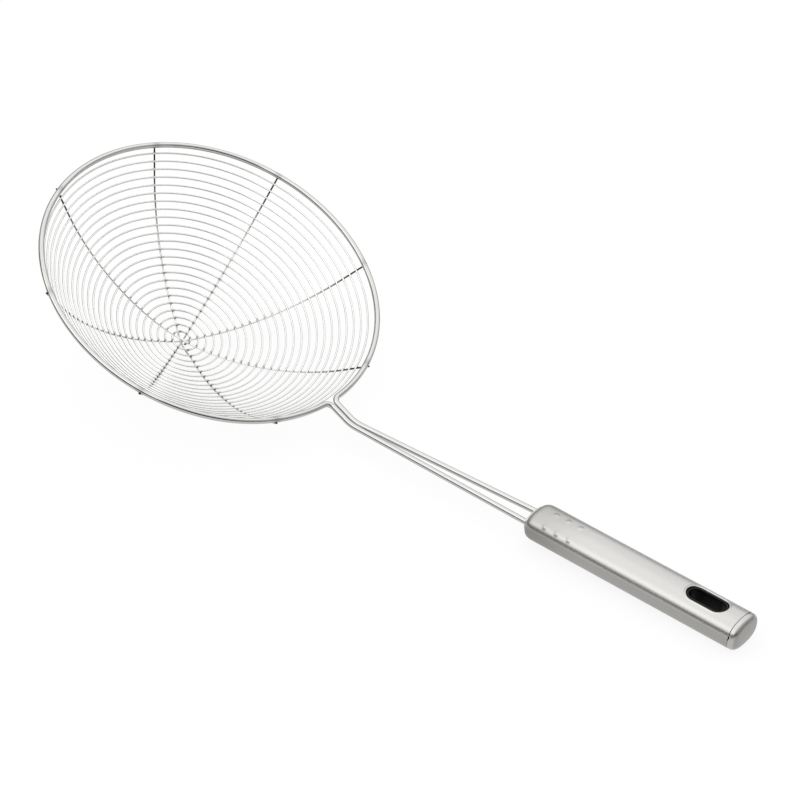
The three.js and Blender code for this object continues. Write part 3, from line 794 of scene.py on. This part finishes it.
def legWeldMesh():
    sides, size, sink = legWeld["sides"], legWeld["size"], legWeld["sink"]
    curl = np.linspace(0.0, np.pi / 2, 6)
    radius = hoop["wire"] / 2 - sink + np.concatenate([[0.0], size * (1 - np.cos(curl)) + sink, [size + sink, 0.0]])
    x = -plug["lip"] + np.concatenate([[-size], -size * (1 - np.sin(curl)), [0.2, 0.2]])
    turn = 2 * np.pi * np.arange(sides) / sides
    rings = np.stack([np.broadcast_to(x[:, None], (len(x), sides)), radius[:, None] * np.cos(turn),
                      radius[:, None] * np.sin(turn)], axis=-1)
    both = np.concatenate([rings.reshape(-1, 3) + [0.0, side * neck["legSpacing"] / 2, 0.0] for side in (-1, 1)])
    faces = gridFaces(len(x) + 1, sides) % (len(x) * sides)
    return both, [np.concatenate([faces, faces + len(x) * sides])]


points, faceSets = legWeldMesh()
makePiece("legWelds", onTable(onHandle(points)), faceSets, weldMetal)


# End cap: a short band that turns over a quarter ellipse into a slightly crowned end
cap = {
    "columns": 288,
    "gap": 0.06,                # seam to the tube
    "cornerGap": 0.55,          # how far the seam opens at two corners
    "corners": (14.0, 112.0),   # the way these face: 0 is -y, 90 is up
    "cornerWidth": 9.0,
    "edge": 0.2,
    "band": 0.6,
    "dome": 2.9,
    "draw": 3.5,                # how far the dome draws in
    "crown": 0.25,
    "bandFrom": 0.3,            # from the tube's end
    "skirt": 6.0,
    "skirtInset": 1.4,
    "inset": 0.05,
}


def endCapMesh():
    columns = cap["columns"]
    oval, normal = ovalColumns(handle["width"], handle["thickness"], columns)[:2]
    front = handle["length"] + cap["gap"]
    curl = np.linspace(0.0, np.pi / 2, 5)
    lean = np.linspace(0.0, np.pi / 2, 16)[1:]
    bandEnd = handle["length"] + cap["bandFrom"] + cap["band"]
    x = np.concatenate([
        [handle["length"] - cap["skirt"], front], front + cap["edge"] * (1 - np.cos(curl)), [bandEnd],
        bandEnd + cap["dome"] * np.sin(lean)])
    inset = cap["inset"] + np.concatenate([
        [cap["skirtInset"]] * 2, cap["edge"] * (1 - np.sin(curl)), [0.0], cap["draw"] * (1 - np.cos(lean))])
    rings = insetRows(oval, normal, x, inset)
    # the seam's opening falls off to both sides of a corner as a bell curve
    facing = np.degrees(np.arctan2(normal[:, 1], -normal[:, 0]))
    seam = slice(1, 2 + len(curl))
    for corner in cap["corners"]:
        rings[seam, :, 0] += cap["cornerGap"] * np.exp(-((facing - corner) / cap["cornerWidth"]) ** 2)[None]
    share = np.linspace(1.0, 0.0, 8)[1:-1]
    last = rings[-1]
    crown = np.concatenate([
        np.broadcast_to((last[0, 0] + cap["crown"] * (1 - share ** 2))[:, None, None], (len(share), columns, 1)),
        share[:, None, None] * last[None, :, 1:]], axis=2)
    rows = np.concatenate([rings, crown])
    points = np.concatenate([rows.reshape(-1, 3), [[x[0], 0.0, 0.0], [last[0, 0] + cap["crown"], 0.0, 0.0]]])
    count = len(rows) * columns
    return points, [gridFaces(len(rows), columns), fanFaces(np.arange(columns), count, flip=True),
                    fanFaces(count - columns + np.arange(columns), count + 1)]


points, faceSets = endCapMesh()
makePiece("endCap", onTable(onHandle(points)), faceSets, brushedCap, ["end_cap"])


# Studio: pale floor, a soft overhead light that runs back, a brighter panel above the camera's side, a dimmer one low
# at the back and black cards round the table
studio = {
    "floor": "#e6e6e6",
    "floorGlow": 0.88,     # share of the floor that shows plain white, the rest takes light and shadow
    "floorHalf": 15.0,
    "world": 0.62,
    "cards": "#121212",
    "cardRadius": 2.0,
    "cardSteps": 96,
    "cardAzimuths": (-180, -165, -95, -75, -15, 5, 180),    # the cards stand higher on the camera's side
    "cardHeights": (0.22, 0.7, 0.7, 1.1, 1.1, 0.22, 0.22),
}
panels = {
    "overheadPanel": {"place": (-0.4, 0.4, 1.6), "aim": (-0.4, 0.4, 0.0), "size": (3.2, 2.3), "brightness": 1.03},
    "nearPanel": {"place": (-0.4, -1.1, 1.3), "aim": (-0.4, 0.0, 0.0), "size": (3.2, 0.95), "brightness": 1.5},
    "farPanel": {"place": (-0.4, 2.2, 1.4), "aim": (-0.4, 0.0, 0.0), "size": (3.6, 1.05), "brightness": 0.86},
}


def makeFloor():
    # plain white to the eye and in reflections, but for the share that takes the shadow
    material, tree = newMaterial("paperFloor")
    path = addNode(tree, "ShaderNodeLightPath")
    seen = addNode(tree, "ShaderNodeMath", {"operation": "ADD"},
                   {0: path.outputs["Is Camera Ray"], 1: path.outputs["Is Glossy Ray"]})
    seen = addNode(tree, "ShaderNodeMath", {"operation": "ADD"},
                   {0: seen.outputs["Value"], 1: path.outputs["Is Transmission Ray"]})
    glow = addNode(tree, "ShaderNodeMath", {"operation": "MULTIPLY", 1: studio["floorGlow"], "use_clamp": True},
                   {0: seen.outputs["Value"]})
    paper = addNode(tree, "ShaderNodeBsdfDiffuse", {"Color": linear(studio["floor"])})
    white = addNode(tree, "ShaderNodeEmission", {"Color": (1.0, 1.0, 1.0, 1.0), "Strength": 1.0})
    mix = addNode(tree, "ShaderNodeMixShader", {}, {0: glow.outputs["Value"], 1: paper.outputs["BSDF"],
                                                   2: white.outputs["Emission"]})
    addNode(tree, "ShaderNodeOutputMaterial", {}, {"Surface": mix.outputs["Shader"]})
    return material


def stageMesh(name, points, faces, material):
    mesh = bpy.data.meshes.new(name)
    mesh.from_pydata(points, [], faces)
    mesh.materials.append(material)
    sheet = bpy.data.objects.new(name, mesh)
    bpy.context.scene.collection.objects.link(sheet)
    return sheet


low, wide = min(0.0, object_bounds()[0].z), studio["floorHalf"]
stageMesh("floor", [(-wide, -wide, low), (wide, -wide, low), (wide, wide, low), (-wide, wide, low)], [(0, 1, 2, 3)],
          makeFloor())


def softPanel(name, place, aim, size, brightness):
    # a lamp that looks as bright as a surface of this brightness, whatever its size
    lamp = bpy.data.lights.new(name, "AREA")
    lamp.shape = "RECTANGLE"
    lamp.size, lamp.size_y = size
    lamp.energy = brightness * size[0] * size[1] * math.pi
    panel = bpy.data.objects.new(name, lamp)
    bpy.context.scene.collection.objects.link(panel)
    ahead = np.array(aim) - np.array(place)
    ahead /= np.linalg.norm(ahead)
    level = np.cross(ahead, [0.0, 0.0, 1.0]) if abs(ahead[2]) < 0.99 else np.array([1.0, 0.0, 0.0])
    level /= np.linalg.norm(level)
    up = np.cross(level, ahead)
    panel.matrix_world = Matrix([[level[i], up[i], -ahead[i], place[i]] for i in range(3)] + [[0, 0, 0, 1]])


for name, panel in panels.items():
    softPanel(name, **panel)

world = bpy.data.worlds.new("studioWorld")
world.use_nodes = True
bpy.context.scene.world = world
world.node_tree.nodes["Background"].inputs["Color"].default_value = (1.0, 1.0, 1.0, 1.0)
world.node_tree.nodes["Background"].inputs["Strength"].default_value = studio["world"]


def makeCards():
    # a wall round the table that only shows in bright metal, as its dark lines
    material, tree = newMaterial("blackCard")
    felt = addNode(tree, "ShaderNodeBsdfDiffuse", {"Color": linear(studio["cards"])})
    addNode(tree, "ShaderNodeOutputMaterial", {}, {"Surface": felt.outputs["BSDF"]})
    turn = np.linspace(0.0, 2 * np.pi, studio["cardSteps"] + 1)[:-1]
    azimuth = (np.degrees(turn) + 180.0) % 360.0 - 180.0
    height = np.interp(azimuth, studio["cardAzimuths"], studio["cardHeights"])
    points = np.concatenate([aroundAxis(studio["cardRadius"], level, turn) for level in (0.0, height)])
    cards = stageMesh("blackCards", points.tolist(), gridFaces(2, len(turn)).tolist(), material)
    cards.visible_camera = False
    cards.visible_diffuse = False
    cards.visible_shadow = False


makeCards()


# Camera: the photograph's viewpoint, given from the middle of the hoop
camera = {
    "azimuth": math.radians(-71.364),
    "elevation": math.radians(46.58),
    "roll": math.radians(32.381),
    "offset": np.array([-94.032, -61.878, 1098.537]),  # hoop's middle right, down and ahead of the lens, mm
    "lens": 2177.138 * 36.0 / 800.0,
}


def makeCamera():
    # right, down and toEye are the lens's axes in tool millimetres, rolled about toEye
    toEye = np.array([math.cos(camera["elevation"]) * math.cos(camera["azimuth"]),
                      math.cos(camera["elevation"]) * math.sin(camera["azimuth"]), math.sin(camera["elevation"])])
    right = np.cross(-toEye, [0.0, 0.0, 1.0])
    right /= np.linalg.norm(right)
    down = np.cross(-toEye, right)
    c, s = math.cos(camera["roll"]), math.sin(camera["roll"])
    right, down = right * c - down * s, right * s + down * c
    eye = -(camera["offset"][0] * right + camera["offset"][1] * down - camera["offset"][2] * toEye)
    axes = np.stack([toolTurn @ right, toolTurn @ -down, toolTurn @ toEye], axis=1)
    eye = onTable(eye)
    lens = bpy.data.cameras.new("photoCamera")
    lens.lens = camera["lens"]
    lens.sensor_width = 36.0
    lens.clip_end = 100.0
    view = bpy.data.objects.new("photoCamera", lens)
    bpy.context.scene.collection.objects.link(view)
    view.matrix_world = Matrix([[*axes[i].tolist(), float(eye[i])] for i in range(3)] + [[0, 0, 0, 1]])
    bpy.context.scene.camera = view


makeCamera()
bpy.context.scene.view_settings.view_transform = "Standard"
print("studio and camera ready")
